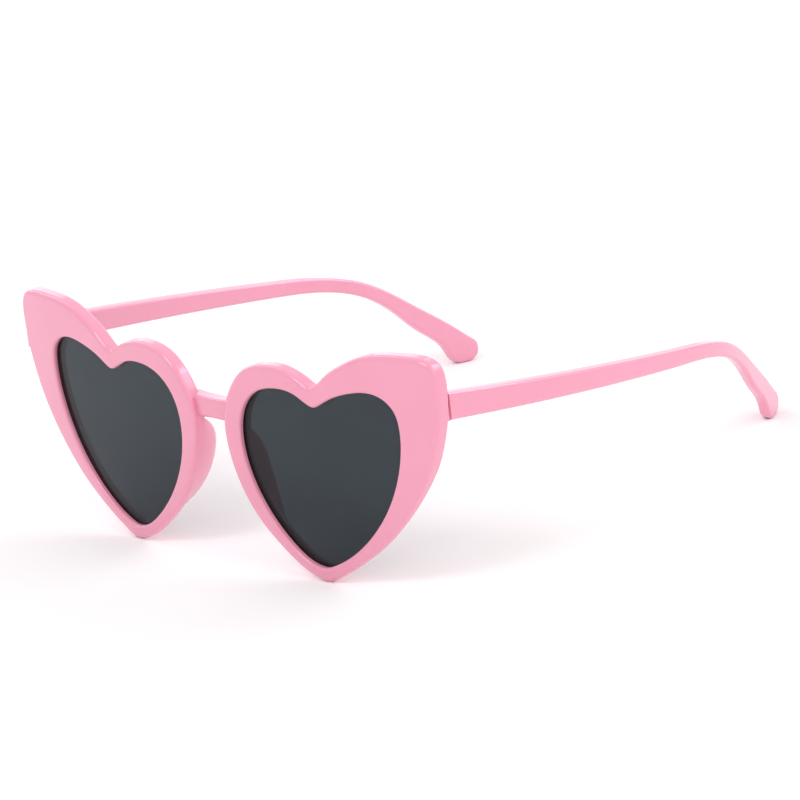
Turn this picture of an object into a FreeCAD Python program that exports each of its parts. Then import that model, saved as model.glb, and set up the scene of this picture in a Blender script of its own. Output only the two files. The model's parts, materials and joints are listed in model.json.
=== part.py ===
import FreeCAD, Part
import math
import os

V = FreeCAD.Vector

# Heart shaped sunglasses, in millimetres.
# +Z is up, the front faces -Y and +X is the wearer's left.
# The glasses stand open on two heart tips and two temple tips, at Z = 0.
# They are drawn with an upright front, and lean back as they stand at the end.

# Driving dimensions
SIZES = [
    ("lens_width", 51.2),
    ("lens_height", 46.5),
    ("lens_gap", 21.8),
    ("rim_nasal", 5.6),
    ("rim_temporal", 12.1),
    ("rim_bottom", 3.65),
    ("rim_top", 10.15),
    ("front_radius", 417.0),
    ("front_thickness", 4.0),
    ("rim_bevel", 2.5),
    ("front_edge_radius", 1.15),
    ("back_edge_radius", 0.7),
    ("opening_edge_radius", 0.6),
    ("lens_thickness", 1.6),
    ("lens_recess", 1.3),
    ("lens_seat", 0.8),
    ("lens_clearance", 0.05),
    ("bridge_height", 5.1),
    ("bridge_level", 39.3),
    ("bridge_recess", 1.8),
    ("bridge_depth", 4.2),
    ("bridge_saddle", 0.5),
    ("bridge_edge_radius", 0.8),
    ("bevel_runout", 16.0),
    ("pad_depth", 5.8),
    ("pad_thickness", 3.2),
    ("pad_splay", 4.7),
    ("pad_root", 1.9),
    ("pad_inset", 0.5),
    ("lug_width", 11.0),
    ("lug_inset", 0.4),
    ("lug_height", 6.8),
    ("lug_depth", 4.3),
    ("lug_edge_radius", 0.3),
    ("hinge_level", 47.7),
    ("joint_gap", 0.1),
    ("knuckle_radius", 1.4),
    ("knuckle_height", 1.9),
    ("knuckle_gap", 0.1),
    ("barrel_gap", 0.25),
    ("leaf_thickness", 0.9),
    ("leaf_proud", 0.1),
    ("leaf_clearance", 0.03),
    ("front_leaf_length", 6.2),
    ("temple_leaf_length", 10.0),
    ("temple_leaf_height", 3.6),
    ("stud_radius", 0.6),
    ("stud_length", 1.5),
    ("stud_spacing", 3.0),
    ("screw_radius", 0.65),
    ("screw_clearance", 0.05),
    ("screw_head_radius", 1.2),
    ("screw_head_height", 0.5),
    ("screw_slot_width", 0.35),
    ("screw_slot_depth", 0.25),
    ("temple_reach", 136.1),
    ("temple_height", 6.9),
    ("temple_thickness", 3.8),
    ("temple_inset", 19.4),
    ("tip_rise", 2.8),
    ("temple_edge_radius", 0.9),
    ("overrun", 2.0),
]

doc = FreeCAD.newDocument("heart_sunglasses")
sheet = doc.addObject("Spreadsheet::Sheet", "dims")
for row, (alias, number) in enumerate(SIZES, start=1):
    sheet.set(f"A{row}", alias)
    sheet.set(f"B{row}", str(number))
    sheet.setAlias(f"B{row}", alias)
doc.recompute()

# Places that several pieces share, as expressions of the driving dimensions
NASAL_EDGE = "(dims.lens_gap / 2)"
SIDE = f"({NASAL_EDGE} + dims.lens_width + dims.rim_temporal)"
RIM_WIDTH = "(dims.rim_nasal + dims.lens_width + dims.rim_temporal)"
RIM_HEIGHT = "(dims.rim_bottom + dims.lens_height + dims.rim_top)"
LUG_BACK = f"(dims.front_radius - sqrt(dims.front_radius ^ 2 - {SIDE} ^ 2) + dims.lug_depth)"
TEMPLE_START = f"({LUG_BACK} + dims.joint_gap)"
TEMPLE_INNER = f"({SIDE} - dims.temple_thickness)"
AXIS_X = f"({TEMPLE_INNER} - dims.knuckle_radius - dims.barrel_gap)"
AXIS_Y = f"({LUG_BACK} + dims.knuckle_radius + dims.barrel_gap)"
STACK_HEIGHT = "(3 * dims.knuckle_height + 2 * dims.knuckle_gap)"
STACK_BOTTOM = f"(dims.hinge_level - {STACK_HEIGHT} / 2)"
KNUCKLE_STEP = "(dims.knuckle_height + dims.knuckle_gap)"
DEPTH = f"({TEMPLE_START} + dims.temple_reach)"

# Outlines as shares of their own box, from its nasal bottom corner
OPENING_SHARES = [
    (0.440, 0.000), (0.368, 0.020), (0.265, 0.094), (0.110, 0.282), (0.012, 0.524), (0.000, 0.668),
    (0.035, 0.813), (0.131, 0.919), (0.263, 0.957), (0.389, 0.938), (0.467, 0.893), (0.500, 0.884),
    (0.528, 0.895), (0.590, 0.933), (0.733, 0.987), (0.845, 1.000), (0.930, 0.972), (0.984, 0.908),
    (1.000, 0.830), (0.988, 0.670), (0.896, 0.404), (0.768, 0.217), (0.601, 0.068), (0.505, 0.015),
]
RIM_SHARES = [
    (0.410, 0.001), (0.331, 0.031), (0.239, 0.100), (0.114, 0.233), (0.057, 0.332), (0.019, 0.440),
    (0.000, 0.568), (0.011, 0.680), (0.046, 0.763), (0.094, 0.829), (0.132, 0.861), (0.186, 0.884),
    (0.243, 0.892), (0.303, 0.889), (0.352, 0.874), (0.396, 0.851), (0.427, 0.830), (0.444, 0.824),
    (0.464, 0.834), (0.525, 0.890), (0.575, 0.925), (0.678, 0.977), (0.795, 0.998), (0.865, 1.000),
    (0.944, 0.994), (0.984, 0.971), (1.002, 0.927), (1.005, 0.850), (0.999, 0.770), (0.977, 0.660),
    (0.934, 0.530), (0.866, 0.398), (0.771, 0.265), (0.711, 0.199), (0.636, 0.133), (0.547, 0.066),
    (0.485, 0.026),
]

# Nose pad sections down the nasal rim: place in the rim's box, then depth and thickness
PAD_SHARES = [
    (0.005, 0.605, 0.10, 0.40), (0.003, 0.560, 0.64, 0.85), (0.008, 0.500, 0.93, 1.00),
    (0.021, 0.440, 1.00, 1.00), (0.057, 0.332, 0.92, 1.00), (0.114, 0.233, 0.66, 0.90),
    (0.195, 0.145, 0.10, 0.40),
]

# Temple bend, seen from the side: reach backwards, middle as a share of the hinge level, and height
BEND_SHARES = [
    (0.593, 0.755, 0.638), (0.674, 0.718, 0.596), (0.737, 0.672, 0.594), (0.788, 0.610, 0.640),
    (0.840, 0.502, 0.783), (0.890, 0.365, 1.043), (0.934, 0.246, 1.260),
]
# Temple tip: the last points of the top edge, as shares of the reach and of the temple's height
TIP_TOP_SHARES = [(0.967, 1.333), (0.989, 0.928), (1.000, 0.507)]
FOOT_SHARE = 0.966
# Temple seen from above: reach backwards, inset of the outer face, and thickness
PLAN_SHARES = [
    (0.000, 0.000, 1.00), (0.051, -0.031, 1.00), (0.102, -0.061, 1.00), (0.279, -0.110, 1.00),
    (0.495, -0.053, 0.96), (0.650, 0.080, 0.92), (0.784, 0.328, 0.90), (0.909, 0.688, 0.90),
    (1.037, 1.055, 0.90),
]

# The tips of the hearts and of the temples stand on the floor, so the front leans back a little
HEART_TIP_X = f"({NASAL_EDGE} - dims.rim_nasal + {RIM_WIDTH} * {RIM_SHARES[0][0]})"
HEART_TIP_DEPTH = f"(dims.front_radius - sqrt(dims.front_radius ^ 2 - {HEART_TIP_X} ^ 2))"
HEART_TIP_Y = f"({HEART_TIP_DEPTH} + dims.front_edge_radius)"
FOOT_Y = f"({TEMPLE_START} + dims.temple_reach * {FOOT_SHARE})"
LEAN = f"atan(dims.tip_rise / ({FOOT_Y} - {HEART_TIP_Y}))"


def value(text):
    return float(sheet.evalExpression(text))


def bind(obj, **expressions):
    for name, text in expressions.items():
        obj.setExpression(name, text)
    return obj


def place(obj, x="0", y="0", z="0"):
    return bind(obj, **{"Placement.Base.x": x, "Placement.Base.y": y, "Placement.Base.z": z})


def box(name, corner, lengths):
    obj = doc.addObject("Part::Box", name)
    bind(obj, **dict(zip(("Length", "Width", "Height"), lengths)))
    return place(obj, *corner)


def cylinder(name, foot, radius, height, rotation=FreeCAD.Rotation()):
    obj = bind(doc.addObject("Part::Cylinder", name), Radius=radius, Height=height)
    obj.Placement = FreeCAD.Placement(V(0, 0, 0), rotation)
    return place(obj, *foot)


def join(kind, name, base, tool):
    obj = doc.addObject(kind, name)
    obj.Base = base
    obj.Tool = tool
    obj.Refine = False
    return obj


def cut(name, base, tool):
    return join("Part::Cut", name, base, tool)


def common(name, base, tool):
    return join("Part::Common", name, base, tool)


def fuse(name, *shapes):
    obj = doc.addObject("Part::MultiFuse", name)
    obj.Shapes = list(shapes)
    obj.Refine = False
    return obj


def extrude(name, profile, direction, length):
    obj = doc.addObject("Part::Extrusion", name)
    obj.Base = profile
    obj.DirMode = "Custom"
    obj.Dir = direction
    obj.Solid = True
    return bind(obj, LengthFwd=length)


def dress(kind, name, base, chosen, amount):
    doc.recompute()
    obj = doc.addObject(kind, name)
    obj.Base = base
    edges = enumerate(base.Shape.Edges, start=1)
    obj.Edges = [(number, amount, amount) for number, edge in edges if chosen(edge)]
    return obj


def sketch(name, rotation, curves):
    obj = doc.addObject("Sketcher::SketchObject", name)
    obj.Placement = FreeCAD.Placement(V(0, 0, 0), rotation)
    for curve in curves:
        obj.addGeometry(curve)
    return obj


FACING_FRONT = FreeCAD.Rotation(V(1, 0, 0), 90)
FACING_SIDE = FreeCAD.Rotation(V(0, 1, 0), V(0, 0, 1), V(1, 0, 0), "ZXY")
ALONG_Y = FreeCAD.Rotation(V(1, 0, 0), -90)
ALONG_X = FreeCAD.Rotation(V(0, 1, 0), 90)


def smooth_curve(points, closed=False):
    curve = Part.BSplineCurve()
    curve.interpolate(Points=points, PeriodicFlag=closed)
    return curve


def heart_sketch(name, shares, nasal, bottom, width, height):
    corner = V(value(nasal), value(bottom), 0)
    points = [corner + V(u * value(width), w * value(height), 0) for u, w in shares]
    obj = sketch(name, FACING_FRONT, [smooth_curve(points, closed=True)])
    return place(obj, y="-dims.overrun")


def opening_prism(name, growth):
    outline = heart_sketch(
        name + "_outline",
        OPENING_SHARES,
        f"{NASAL_EDGE} - {growth}",
        f"dims.rim_bottom - {growth}",
        f"dims.lens_width + 2 * {growth}",
        f"dims.lens_height + 2 * {growth}",
    )
    return extrude(name, outline, V(0, 1, 0), f"{LUG_BACK} + 2 * dims.overrun")


def behind_front(name, distance):
    foot = ("0", "dims.front_radius", "-dims.overrun")
    return cylinder(name, foot, f"dims.front_radius - {distance}", f"{RIM_HEIGHT} + 2 * dims.overrun")


def curved_slab(name, front, back):
    return cut(name, behind_front(name + "_outer", front), behind_front(name + "_inner", back))


def depth_of(point):
    axis = V(0, value("dims.front_radius"), point.z)
    return value("dims.front_radius") - point.distanceToPoint(axis)


def runs_at_depth(depth):
    tolerance = value("dims.lens_clearance") / 10
    samples = 5

    def chosen(edge):
        return all(abs(depth_of(point) - value(depth)) < tolerance for point in edge.discretize(samples))

    return chosen


# Front: one moulded piece of two heart rims, a bridge, nose pads and hinge lugs


def bevelled_rim():
    blank = common("rim_blank", rim_prism, curved_slab("rim_slab", "0", "dims.front_thickness"))
    on_front = runs_at_depth("0")
    rounded = dress("Part::Fillet", "rim_rounded", blank, on_front, value("dims.front_edge_radius"))
    below_bridge = box(
        "below_bridge",
        ("0", "-dims.overrun", "-dims.overrun"),
        (f"{SIDE} + dims.overrun", f"{LUG_BACK} + 2 * dims.overrun", "dims.bridge_level + dims.overrun"),
    )
    lower = common("rim_below_bridge", rounded, below_bridge)
    on_back = runs_at_depth("dims.front_thickness")

    def rear_outline(edge):
        return on_back(edge) and edge.BoundBox.ZLength > value("dims.lens_clearance")

    softened = dress("Part::Fillet", "rim_softened", rounded, rear_outline, value("dims.back_edge_radius"))
    bevelled = dress("Part::Chamfer", "rim_bevelled", lower, rear_outline, value("dims.rim_bevel"))
    zone = bevel_zone()
    return fuse("rim_plate", cut("rim_upper", softened, zone), common("rim_lower", bevelled, zone))


def bevel_zone():
    top = value("dims.bridge_level")
    bottom = value("-dims.overrun")
    back = value("dims.front_thickness")
    far_back = back + value(LUG_BACK)
    ramp_foot = back - (top - bottom) * value("dims.rim_bevel / dims.bevel_runout")
    corners = [V(back, top, 0), V(far_back, top, 0), V(far_back, bottom, 0), V(ramp_foot, bottom, 0)]
    edges = [Part.LineSegment(start, end) for start, end in zip(corners, corners[1:] + corners[:1])]
    chord = math.degrees(math.atan2(value(LUG_BACK) - value("dims.lug_depth"), value(SIDE)))
    profile = sketch("bevel_zone_profile", FreeCAD.Rotation(V(0, 0, 1), chord) * FACING_SIDE, edges)
    along = V(math.cos(math.radians(chord)), math.sin(math.radians(chord)), 0)
    return extrude("bevel_zone", profile, along, f"{SIDE} + {LUG_BACK}")


def hinge_lug():
    foot = "dims.hinge_level - dims.lug_height / 2"
    block = box(
        "lug_block",
        (f"{SIDE} - dims.lug_width", f"{LUG_BACK} - dims.lug_depth", foot),
        ("dims.lug_width - dims.lug_inset", "dims.lug_depth", "dims.lug_height"),
    )
    back = value(LUG_BACK)

    def around_back(edge):
        return all(abs(vertex.Point.y - back) < value("dims.lens_clearance") for vertex in edge.Vertexes)

    return dress("Part::Fillet", "hinge_lug", block, around_back, value("dims.lug_edge_radius"))


def nose_pad():
    sections = []
    splay = value("dims.pad_splay")
    for number, (u_share, w_share, depth_share, thickness_share) in enumerate(PAD_SHARES, start=1):
        section = doc.addObject("Part::Ellipse", f"pad_section_{number}")
        section.Placement = FreeCAD.Placement(V(0, 0, 0), FreeCAD.Rotation(V(0, 0, 1), 90 - splay))
        bind(
            section,
            MajorRadius=f"(dims.front_thickness - dims.pad_root + dims.pad_depth) * {depth_share}",
            MinorRadius=f"dims.pad_thickness / 2 * {thickness_share}",
        )
        rim_edge = f"{NASAL_EDGE} - dims.rim_nasal + {RIM_WIDTH} * {u_share}"
        middle = f"{rim_edge} + dims.pad_inset + dims.pad_thickness / 2"
        sections.append(place(section, middle, "dims.pad_root", f"{RIM_HEIGHT} * {w_share}"))
    loft = doc.addObject("Part::Loft", "pad_loft")
    loft.Sections = sections
    loft.Solid = True
    zone = box(
        "pad_zone",
        ("0", "dims.pad_root", "0"),
        (f"{NASAL_EDGE} + dims.lens_width / 2", "dims.front_thickness + 2 * dims.pad_depth", RIM_HEIGHT),
    )
    return common("nose_pad", loft, zone)


def bridge_bar():
    half = value(f"{NASAL_EDGE} - dims.rim_nasal / 2")
    saddle = value("dims.bridge_saddle")
    top = value("dims.bridge_level + dims.bridge_height / 2")
    bottom = value("dims.bridge_level - dims.bridge_height / 2")
    right_top = V(half, top + saddle, 0)
    left_top = V(-half, top + saddle, 0)
    right_bottom = V(half, bottom - saddle, 0)
    left_bottom = V(-half, bottom - saddle, 0)
    outline = sketch("bridge_outline", FACING_FRONT, [
        Part.Arc(right_top, V(0, top, 0), left_top),
        Part.LineSegment(left_top, left_bottom),
        Part.Arc(left_bottom, V(0, bottom, 0), right_bottom),
        Part.LineSegment(right_bottom, right_top),
    ])
    place(outline, y="-dims.overrun")
    back = "(dims.bridge_recess + dims.bridge_depth)"
    prism = extrude("bridge_prism", outline, V(0, 1, 0), f"{back} + 2 * dims.overrun")
    slab = curved_slab("bridge_slab", "dims.bridge_recess", back)
    bar = common("bridge_bar", prism, slab)

    def lengthwise(edge):
        ends = [vertex.Point for vertex in edge.Vertexes]
        return abs(ends[0].x - ends[-1].x) > half

    return dress("Part::Fillet", "bridge_rounded", bar, lengthwise, value("dims.bridge_edge_radius"))


rim_outline = heart_sketch(
    "rim_outline", RIM_SHARES, f"{NASAL_EDGE} - dims.rim_nasal", "0", RIM_WIDTH, RIM_HEIGHT
)
rim_prism = extrude("rim_prism", rim_outline, V(0, 1, 0), f"{LUG_BACK} + dims.overrun")

# Hinge leaf seats, shared by the leaves and the pieces that carry them
LEAF_SINK = "(dims.leaf_thickness - dims.leaf_proud)"
FRONT_LEAF_OUTER = f"({AXIS_X} + dims.knuckle_radius)"
FRONT_LEAF_INNER = f"({FRONT_LEAF_OUTER} - dims.front_leaf_length)"
FRONT_STUD_X = f"({FRONT_LEAF_INNER} + 2 * dims.stud_radius)"
TEMPLE_LEAF_FRONT = f"({AXIS_Y} + dims.knuckle_radius + dims.barrel_gap)"
TEMPLE_LEAF_BACK = f"({TEMPLE_LEAF_FRONT} + dims.temple_leaf_length)"


def front_leaf_parts(name, gap):
    front = f"({LUG_BACK} - {LEAF_SINK} - {gap})"
    length = f"dims.front_leaf_length + 2 * {gap}"
    height = f"{STACK_HEIGHT} + 2 * {gap}"
    plate = box(
        name + "_plate",
        (f"{FRONT_LEAF_INNER} - {gap}", front, f"{STACK_BOTTOM} - {gap}"),
        (length, f"dims.leaf_thickness + {gap}", height),
    )
    studs = [
        cylinder(
            f"{name}_stud_{side}",
            (FRONT_STUD_X, f"{front} - dims.stud_length", f"dims.hinge_level {sign} dims.stud_spacing / 2"),
            f"dims.stud_radius + {gap}",
            f"dims.stud_length + {LEAF_SINK}",
            ALONG_Y,
        )
        for side, sign in (("upper", "+"), ("lower", "-"))
    ]
    return [plate] + studs


def temple_leaf_plate(name, front, gap):
    foot = f"dims.hinge_level - dims.temple_leaf_height / 2 - {gap}"
    length = f"{TEMPLE_LEAF_BACK} + {gap} - {front}"
    return box(
        name,
        (f"{TEMPLE_INNER} - dims.leaf_proud", front, foot),
        (f"dims.leaf_thickness + {gap}", length, f"dims.temple_leaf_height + 2 * {gap}"),
    )


def temple_leaf_studs(name, gap):
    return [
        cylinder(
            f"{name}_{number}",
            (TEMPLE_INNER, f"{TEMPLE_LEAF_BACK} - (2 + {number} * 4) * dims.stud_radius", "dims.hinge_level"),
            f"dims.stud_radius + {gap}",
            f"{LEAF_SINK} + dims.stud_length + {gap}",
            ALONG_X,
        )
        for number in range(2)
    ]


def along_temple(obj):
    reach = value("dims.temple_reach")
    back, up, _ = BEND_SHARES[0]
    slope = math.degrees(math.atan2((1 - up) * value("dims.hinge_level"), back * reach))
    back, inward, _ = PLAN_SHARES[1]
    flare = math.degrees(math.atan2(-inward * value("dims.temple_inset"), back * reach))
    pivot = V(value(TEMPLE_INNER), value(TEMPLE_START), value("dims.hinge_level"))
    turn = FreeCAD.Rotation(V(0, 0, 1), -flare) * FreeCAD.Rotation(V(1, 0, 0), -slope)
    obj.Placement = FreeCAD.Placement(V(0, 0, 0), turn, pivot)
    return obj


def front_half():
    opened = cut("rim_opened", bevelled_rim(), opening_prism("opening", "0"))
    on_front = runs_at_depth("0")
    opening_foot = value("dims.rim_bottom - dims.lens_clearance")

    def opening_edge(edge):
        return edge.BoundBox.ZMin > opening_foot and on_front(edge)

    opened = dress("Part::Fillet", "opening_rounded", opened, opening_edge, value("dims.opening_edge_radius"))
    groove_front = "dims.lens_recess - dims.lens_clearance"
    groove_back = "dims.lens_recess + dims.lens_thickness + dims.lens_clearance"
    groove = common(
        "lens_groove",
        opening_prism("groove", "dims.lens_seat"),
        curved_slab("groove_slab", f"({groove_front})", f"({groove_back})"),
    )
    grooved = cut("rim_grooved", opened, groove)
    whole = fuse("half_fused", grooved, hinge_lug(), nose_pad())
    seat = fuse("front_leaf_seat", *front_leaf_parts("front_seat", "dims.leaf_clearance"))
    return cut("front_half", whole, seat)


def mirrored(name, source):
    obj = doc.addObject("Part::Mirroring", name)
    obj.Source = source
    obj.Normal = V(1, 0, 0)
    return obj


def front_frame():
    left = front_half()
    return fuse("front_frame", left, mirrored("front_half_mirrored", left), bridge_bar())


# Lens: a tinted sheet that follows the front's curve and sits in the rim's groove


def lens():
    slab = curved_slab("lens_slab", "dims.lens_recess", "(dims.lens_recess + dims.lens_thickness)")
    return common("left_lens", opening_prism("lens", "(dims.lens_seat - dims.lens_clearance)"), slab)


# Hinge: a two knuckle leaf in the front, a one knuckle leaf in the temple and the screw that is their pin


def knuckle(name, step):
    foot = (AXIS_X, AXIS_Y, f"{STACK_BOTTOM} + {step} * {KNUCKLE_STEP}")
    return cylinder(name, foot, "dims.knuckle_radius", "dims.knuckle_height")


def hinge_bore(name):
    foot = (AXIS_X, AXIS_Y, f"{STACK_BOTTOM} - dims.overrun")
    radius = "dims.screw_radius + dims.screw_clearance"
    return cylinder(name, foot, radius, f"{STACK_HEIGHT} + 2 * dims.overrun")


def front_leaf():
    pieces = front_leaf_parts("front_leaf", "0")
    for name, step in (("lower", 0), ("upper", 2)):
        pieces.append(knuckle(f"front_knuckle_{name}", step))
        arm_front = f"({LUG_BACK} - {LEAF_SINK} / 2)"
        pieces.append(box(
            f"front_arm_{name}",
            (f"{AXIS_X} - dims.knuckle_radius", arm_front, f"{STACK_BOTTOM} + {step} * {KNUCKLE_STEP}"),
            ("2 * dims.knuckle_radius", f"{AXIS_Y} - {arm_front}", "dims.knuckle_height"),
        ))
    return cut("left_front_hinge_leaf", fuse("front_leaf_solid", *pieces), hinge_bore("front_leaf_bore"))


def temple_leaf():
    plate = temple_leaf_plate("temple_leaf_plate", TEMPLE_LEAF_FRONT, "0")
    flat = along_temple(fuse("temple_leaf_flat", plate, *temple_leaf_studs("temple_leaf_stud", "0")))
    knuckle_foot = f"{STACK_BOTTOM} + {KNUCKLE_STEP}"
    arm = box(
        "temple_arm",
        (AXIS_X, AXIS_Y, knuckle_foot),
        (f"{TEMPLE_INNER} + {LEAF_SINK} - {AXIS_X}", "dims.knuckle_radius", "dims.knuckle_height"),
    )
    neck_length = f"{TEMPLE_LEAF_FRONT} - {AXIS_Y} + dims.knuckle_radius"
    neck = box(
        "temple_neck",
        (f"{TEMPLE_INNER} - dims.leaf_proud", AXIS_Y, knuckle_foot),
        ("dims.leaf_thickness", neck_length, "dims.knuckle_height"),
    )
    solid = fuse("temple_leaf_solid", flat, knuckle("temple_knuckle", 1), arm, neck)
    return cut("left_temple_hinge_leaf", solid, hinge_bore("temple_leaf_bore"))


def hinge_screw():
    shank = cylinder("screw_shank", (AXIS_X, AXIS_Y, STACK_BOTTOM), "dims.screw_radius", STACK_HEIGHT)
    top = f"({STACK_BOTTOM} + {STACK_HEIGHT})"
    head = cylinder("screw_head", (AXIS_X, AXIS_Y, top), "dims.screw_head_radius", "dims.screw_head_height")
    slot = box(
        "screw_slot",
        (f"{AXIS_X} - dims.screw_head_radius", f"{AXIS_Y} - dims.screw_slot_width / 2",
         f"{top} + dims.screw_head_height - dims.screw_slot_depth"),
        ("2 * dims.screw_head_radius", "dims.screw_slot_width", "dims.screw_slot_depth + dims.overrun"),
    )
    return cut("left_hinge_screw", fuse("screw_solid", shank, head), slot)


# Temple: a side view and a plan view crossed, with all long edges rounded


def temple_side_profile():
    start = value(TEMPLE_START)
    reach = value("dims.temple_reach")
    level = value("dims.hinge_level")
    height = value("dims.temple_height")
    front_top = V(start, level + height / 2, 0)
    front_bottom = V(start, level - height / 2, 0)
    middles = [V(start + back * reach, up * level, 0) for back, up, _ in BEND_SHARES]
    halves = [V(0, tall * height / 2, 0) for _, _, tall in BEND_SHARES]
    top = [middle + half for middle, half in zip(middles, halves)]
    bottom = [middle - half for middle, half in zip(middles, halves)]
    rise = value("dims.tip_rise")
    tip = [V(start + back * reach, rise + up * height, 0) for back, up in TIP_TOP_SHARES]
    foot = V(value(FOOT_Y), rise, 0)
    top_edge = Part.BSplineCurve()
    top_edge.interpolate(Points=top + tip, InitialTangent=top[0] - front_top, FinalTangent=V(0, -1, 0))
    heel = Part.BSplineCurve()
    heel.interpolate(Points=[tip[-1], foot], InitialTangent=V(0, -1, 0), FinalTangent=V(-1, 0, 0))
    bottom_edge = Part.BSplineCurve()
    bottom_edge.interpolate(
        Points=[foot] + bottom[::-1], InitialTangent=V(-1, 0, 0), FinalTangent=front_bottom - bottom[0]
    )
    return sketch("temple_side", FACING_SIDE, [
        Part.LineSegment(front_top, top[0]),
        top_edge,
        heel,
        bottom_edge,
        Part.LineSegment(bottom[0], front_bottom),
        Part.LineSegment(front_bottom, front_top),
    ])


def temple_plan_profile():
    start = value(TEMPLE_START)
    reach = value("dims.temple_reach")
    side = value(SIDE)
    inset = value("dims.temple_inset")
    thickness = value("dims.temple_thickness")
    outer = [V(side - inward * inset, start + back * reach, 0) for back, inward, _ in PLAN_SHARES]
    inner = [point - V(thick * thickness, 0, 0) for point, (_, _, thick) in zip(outer, PLAN_SHARES)]
    return sketch("temple_plan", FreeCAD.Rotation(), [
        smooth_curve(outer),
        Part.LineSegment(outer[-1], inner[-1]),
        smooth_curve(inner[::-1]),
        Part.LineSegment(inner[0], outer[0]),
    ])


def temple():
    side = extrude("temple_side_prism", temple_side_profile(), V(1, 0, 0), f"{SIDE} + dims.temple_inset")
    plan = temple_plan_profile()
    place(plan, z="-dims.overrun")
    plan = extrude("temple_plan_prism", plan, V(0, 0, 1), f"{RIM_HEIGHT} + 2 * dims.overrun")
    blank = common("temple_blank", side, plan)
    front = value(TEMPLE_START)

    def long_edge(edge):
        return edge.BoundBox.YMax > front + value("dims.temple_height")

    rounded = dress("Part::Fillet", "temple_rounded", blank, long_edge, value("dims.temple_edge_radius"))
    channel = temple_leaf_plate("temple_channel", f"({TEMPLE_START} - dims.overrun)", "dims.leaf_clearance")
    studs = temple_leaf_studs("temple_stud_seat", "dims.leaf_clearance")
    return cut("left_temple", rounded, along_temple(fuse("temple_leaf_seat", channel, *studs)))


front = front_frame()
left_nodes = [lens(), temple(), front_leaf(), temple_leaf(), hinge_screw()]
doc.recompute()
nodes = [front]
for left in left_nodes:
    right = mirrored(left.Name.replace("left_", "right_"), left)
    nodes += [left, right]
stand = FreeCAD.Placement(
    V(0, -value(DEPTH) / 2, 0),
    FreeCAD.Rotation(V(1, 0, 0), -value(LEAN)),
    V(0, value(HEART_TIP_Y), 0),
)
for node in [front] + left_nodes:
    node.Placement = stand
doc.recompute()

failed = [obj.Name for obj in doc.Objects if "Invalid" in obj.State or "Error" in obj.State]
broken = [node.Name for node in nodes if node.Shape.isNull() or not node.Shape.isValid()]
if failed or broken:
    raise RuntimeError(f"failed: {failed} broken: {broken}")

os.makedirs("parts", exist_ok=True)
for node in nodes:
    node.Label = node.Name
    node.Shape.exportStep(f"parts/{node.Label}.step")
    print(node.Label, len(node.Shape.Solids), round(node.Shape.Volume, 1))
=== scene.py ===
"""Finishes, studio and camera for the heart shaped sunglasses.

Every shape is the CAD's own. This script gives each node its finish, and lights and views the
glasses as in the photograph.
"""

import json
import math

import bpy
from mathutils import Matrix, Vector

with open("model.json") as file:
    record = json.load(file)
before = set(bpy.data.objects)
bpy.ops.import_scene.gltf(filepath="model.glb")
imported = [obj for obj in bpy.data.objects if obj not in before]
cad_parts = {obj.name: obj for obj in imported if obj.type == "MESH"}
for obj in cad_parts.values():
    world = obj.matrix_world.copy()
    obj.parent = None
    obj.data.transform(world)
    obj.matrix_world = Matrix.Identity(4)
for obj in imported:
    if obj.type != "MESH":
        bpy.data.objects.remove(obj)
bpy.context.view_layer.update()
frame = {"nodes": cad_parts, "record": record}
scene = bpy.context.scene
nodes = frame["nodes"]
MM = 0.001


# Materials: colour and gloss drift a little over each surface

CLOUD_DETAIL, CLOUD_ROUGHNESS = 3.0, 0.55
CLOUD_DARK_UP_TO, CLOUD_LIGHT_FROM = 0.35, 0.65
GRAIN_DETAIL, GRAIN_ROUGHNESS, GRAIN_STRENGTH = 2.0, 0.5, 0.12

EVEN = (1, 1, 1)
BRUSHED = (1, 0.04, 1)

PLASTIC_IOR = 1.49
PLASTIC_COAT, PLASTIC_COAT_ROUGHNESS = 0.6, 0.06
PINK = (0.834, 0.318, 0.443), (0.848, 0.330, 0.457)

LENS_IOR, LENS_SPECULAR = 1.5, 0.30
LENS_OPACITY = 0.72
LENS_TINT = (0.590, 0.698, 0.762), (0.606, 0.714, 0.782)
LENS_DYE = (0.0016, 0.0014, 0.0018), (0.0024, 0.0022, 0.0026)

STEEL = (0.60, 0.60, 0.62), (0.65, 0.65, 0.67)

FLOOR_ROUGHNESS = 0.5
FLOOR_WHITE = (0.925, 0.925, 0.908), (0.935, 0.935, 0.918)


def greys(dark, light):
    """Two levels as a pair of colours, for a socket that takes a number."""
    return (dark, dark, dark), (light, light, light)


def new_material(name):
    material = bpy.data.materials.new(name)
    material.use_nodes = True
    tree = material.node_tree
    tree.nodes.clear()
    return material, tree


def add(tree, kind, **sockets):
    """A new node with the named sockets set, an underscore standing for a space."""
    node = tree.nodes.new(kind)
    for key, number in sockets.items():
        node.inputs[key.replace("_", " ")].default_value = number
    return node


def mottle(tree, socket, scale, shades, stretch=EVEN):
    """Feed a socket a cloudy mix of two near shades, in object space, drawn out where stretch is low."""
    place = add(tree, "ShaderNodeTexCoord")
    drawn = add(tree, "ShaderNodeMapping", Scale=stretch)
    noise = add(tree, "ShaderNodeTexNoise", Scale=scale, Detail=CLOUD_DETAIL, Roughness=CLOUD_ROUGHNESS)
    ramp = add(tree, "ShaderNodeValToRGB")
    stops = zip(ramp.color_ramp.elements, (CLOUD_DARK_UP_TO, CLOUD_LIGHT_FROM), shades)
    for stop, position, shade in stops:
        stop.position = position
        stop.color = (*shade, 1)
    tree.links.new(place.outputs["Object"], drawn.inputs["Vector"])
    tree.links.new(drawn.outputs["Vector"], noise.inputs["Vector"])
    tree.links.new(noise.outputs["Fac"], ramp.inputs["Fac"])
    tree.links.new(ramp.outputs["Color"], socket)


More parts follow.
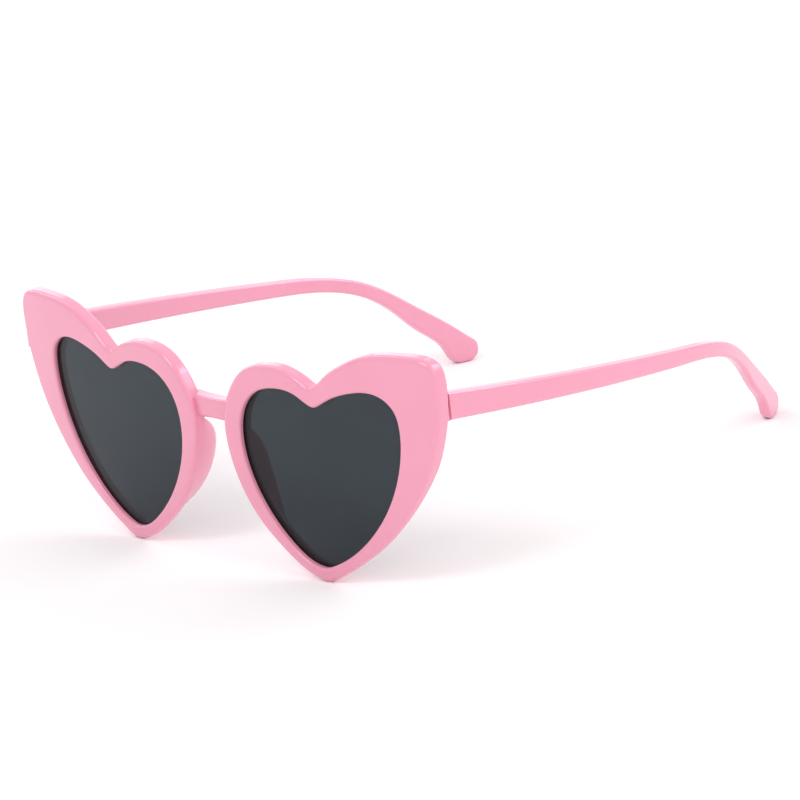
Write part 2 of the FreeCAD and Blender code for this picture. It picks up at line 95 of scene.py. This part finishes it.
def surface_bump(tree, shader, scale, height):
    """A fine grain, in object space, as bump on the shader."""
    place = add(tree, "ShaderNodeTexCoord")
    grain = add(tree, "ShaderNodeTexNoise", Scale=scale, Detail=GRAIN_DETAIL, Roughness=GRAIN_ROUGHNESS)
    bump = add(tree, "ShaderNodeBump", Strength=GRAIN_STRENGTH, Distance=height)
    tree.links.new(place.outputs["Object"], grain.inputs["Vector"])
    tree.links.new(grain.outputs["Fac"], bump.inputs["Height"])
    tree.links.new(bump.outputs["Normal"], shader.inputs["Normal"])


def finish_material(tree, surface):
    out = add(tree, "ShaderNodeOutputMaterial")
    tree.links.new(surface, out.inputs["Surface"])


def pink_plastic():
    """Opaque moulded plastic with a polished skin."""
    material, tree = new_material("pink_plastic")
    shader = add(
        tree,
        "ShaderNodeBsdfPrincipled",
        IOR=PLASTIC_IOR,
        Coat_Weight=PLASTIC_COAT,
        Coat_Roughness=PLASTIC_COAT_ROUGHNESS,
    )
    mottle(tree, shader.inputs["Base Color"], scale=60.0, shades=PINK)
    mottle(tree, shader.inputs["Roughness"], scale=220.0, shades=greys(0.15, 0.20))
    surface_bump(tree, shader, scale=900.0, height=0.04 * MM)
    finish_material(tree, shader.outputs["BSDF"])
    return material


def tinted_lens():
    """Dark see-through plastic: a tinted film under a weak polish."""
    material, tree = new_material("tinted_lens")
    film = add(tree, "ShaderNodeBsdfTransparent")
    mottle(tree, film.inputs["Color"], scale=40.0, shades=LENS_TINT)
    polish = add(tree, "ShaderNodeBsdfPrincipled", IOR=LENS_IOR, Specular_IOR_Level=LENS_SPECULAR)
    mottle(tree, polish.inputs["Base Color"], scale=40.0, shades=LENS_DYE)
    mottle(tree, polish.inputs["Roughness"], scale=120.0, shades=greys(0.02, 0.04))
    mix = add(tree, "ShaderNodeMixShader", Fac=LENS_OPACITY)
    tree.links.new(film.outputs["BSDF"], mix.inputs[1])
    tree.links.new(polish.outputs["BSDF"], mix.inputs[2])
    finish_material(tree, mix.outputs["Shader"])
    return material


def hinge_steel():
    """Plated steel, brushed along the temples."""
    material, tree = new_material("hinge_steel")
    shader = add(tree, "ShaderNodeBsdfPrincipled", Metallic=1.0)
    mottle(tree, shader.inputs["Base Color"], scale=2500.0, shades=STEEL, stretch=BRUSHED)
    mottle(tree, shader.inputs["Roughness"], scale=2500.0, shades=greys(0.24, 0.34), stretch=BRUSHED)
    surface_bump(tree, shader, scale=4000.0, height=0.01 * MM)
    finish_material(tree, shader.outputs["BSDF"])
    return material


def floor_material():
    material, tree = new_material("pale_floor")
    matt = add(tree, "ShaderNodeBsdfDiffuse", Roughness=FLOOR_ROUGHNESS)
    mottle(tree, matt.inputs["Color"], scale=3.0, shades=FLOOR_WHITE)
    finish_material(tree, matt.outputs["BSDF"])
    return material


slots = {"pink_plastic": pink_plastic(), "tinted_lens": tinted_lens(), "hinge_steel": hinge_steel()}
for row in frame["record"]["subparts"]:
    piece = nodes[row["node"]]
    piece.data.materials.clear()
    piece.data.materials.append(slots[row["material_slot"]])


# Studio: a white floor under an even sky, with lamps placed for the highlights of the photograph

FLOOR_SIZE = 30
SKY_COLOUR = (1.0, 0.985, 0.99, 1)
SKY_STRENGTH = 0.83
MIDDLE = Vector((0.0, 0.0, 0.03))
LILAC = (0.96, 0.91, 1.0)
BLUISH = (0.88, 0.88, 1.0)
WARM = (1.0, 0.99, 0.98)


def soft_box(name, place, size, radiance, colour):
    """A rectangular lamp that faces the middle of the glasses, as bright as radiance says."""
    data = bpy.data.lights.new(name, "AREA")
    data.shape = "RECTANGLE"
    data.size, data.size_y = size
    data.energy = radiance * math.pi * data.size * data.size_y
    data.color = colour
    lamp = bpy.data.objects.new(name, data)
    scene.collection.objects.link(lamp)
    facing = (MIDDLE - Vector(place)).to_track_quat("-Z", "Y").to_matrix().to_4x4()
    lamp.matrix_world = Matrix.Translation(place) @ facing


bpy.ops.mesh.primitive_plane_add(size=FLOOR_SIZE)
floor = bpy.context.object
floor.name = "floor"
floor.data.materials.append(floor_material())

world = bpy.data.worlds.new("studio")
scene.world = world
world.use_nodes = True
sky = world.node_tree.nodes["Background"]
sky.inputs["Color"].default_value = SKY_COLOUR
sky.inputs["Strength"].default_value = SKY_STRENGTH

# Seen on the upper front edges
soft_box("left_strip", place=(-0.78, -0.05, 0.74), size=(0.16, 0.9), radiance=3.0, colour=LILAC)
# Seen along the tops of the temples
soft_box("back_strip", place=(0.05, 0.80, 0.78), size=(1.1, 0.16), radiance=2.8, colour=LILAC)
# Seen on the notches and the wings' outer corners
soft_box("front_box", place=(0.06, -0.76, 0.93), size=(0.42, 0.30), radiance=6.0, colour=LILAC)
# Seen on the level tops of the rims and the bridge
soft_box("backdrop", place=(-1.00, 0.95, 0.42), size=(1.8, 0.6), radiance=0.8, colour=LILAC)
# Seen on the right-hand slopes of the hearts
soft_box("back_right_box", place=(0.60, 0.84, 0.74), size=(0.6, 0.45), radiance=2.4, colour=BLUISH)
# Lights the near temple and the wing's side
soft_box("right_fill", place=(1.25, -0.10, 0.75), size=(1.2, 1.2), radiance=0.75, colour=WARM)


# Camera: solved from the photograph with the front upright, then moved with the glasses, which lean
# back about PIVOT_MM to stand on their temple tips, and whose footprint is centred on CENTRE_MM

AZIMUTH = math.radians(46.668)
ELEVATION = math.radians(17.111)
ROLL = math.radians(-6.591)
FOCAL_PX, PHOTO_WIDTH_PX = 4480.54, 800
EYE_RIGHT_MM, EYE_UP_MM, EYE_BACK_MM = 43.03, 40.072, 1108.531
LEAN = math.radians(1.1456)
PIVOT_MM = Vector((0, 2.502, 0))
CENTRE_MM = Vector((0, 73.577, 0))
SENSOR_WIDTH_MM = 36
CLIP_START, CLIP_END = 0.01, 50

back = Vector((
    math.sin(AZIMUTH) * math.cos(ELEVATION),
    -math.cos(AZIMUTH) * math.cos(ELEVATION),
    math.sin(ELEVATION),
))
level = Vector((math.cos(AZIMUTH), math.sin(AZIMUTH), 0))
upright = back.cross(level)
right = math.cos(ROLL) * level + math.sin(ROLL) * upright
up = -math.sin(ROLL) * level + math.cos(ROLL) * upright
solved_eye = EYE_RIGHT_MM * right + EYE_UP_MM * up + EYE_BACK_MM * back
leaning = Matrix.Rotation(-LEAN, 3, "X")
eye = (leaning @ (solved_eye - PIVOT_MM) + PIVOT_MM - CENTRE_MM) * MM
axes = leaning @ Matrix((right, up, back)).transposed()

camera_data = bpy.data.cameras.new("camera")
camera_data.sensor_width = SENSOR_WIDTH_MM
camera_data.lens = SENSOR_WIDTH_MM * FOCAL_PX / PHOTO_WIDTH_PX
camera_data.clip_start = CLIP_START
camera_data.clip_end = CLIP_END
camera = bpy.data.objects.new("camera", camera_data)
scene.collection.objects.link(camera)
camera.matrix_world = Matrix.Translation(eye) @ axes.to_4x4()
scene.camera = camera

scene.view_settings.view_transform = "Standard"
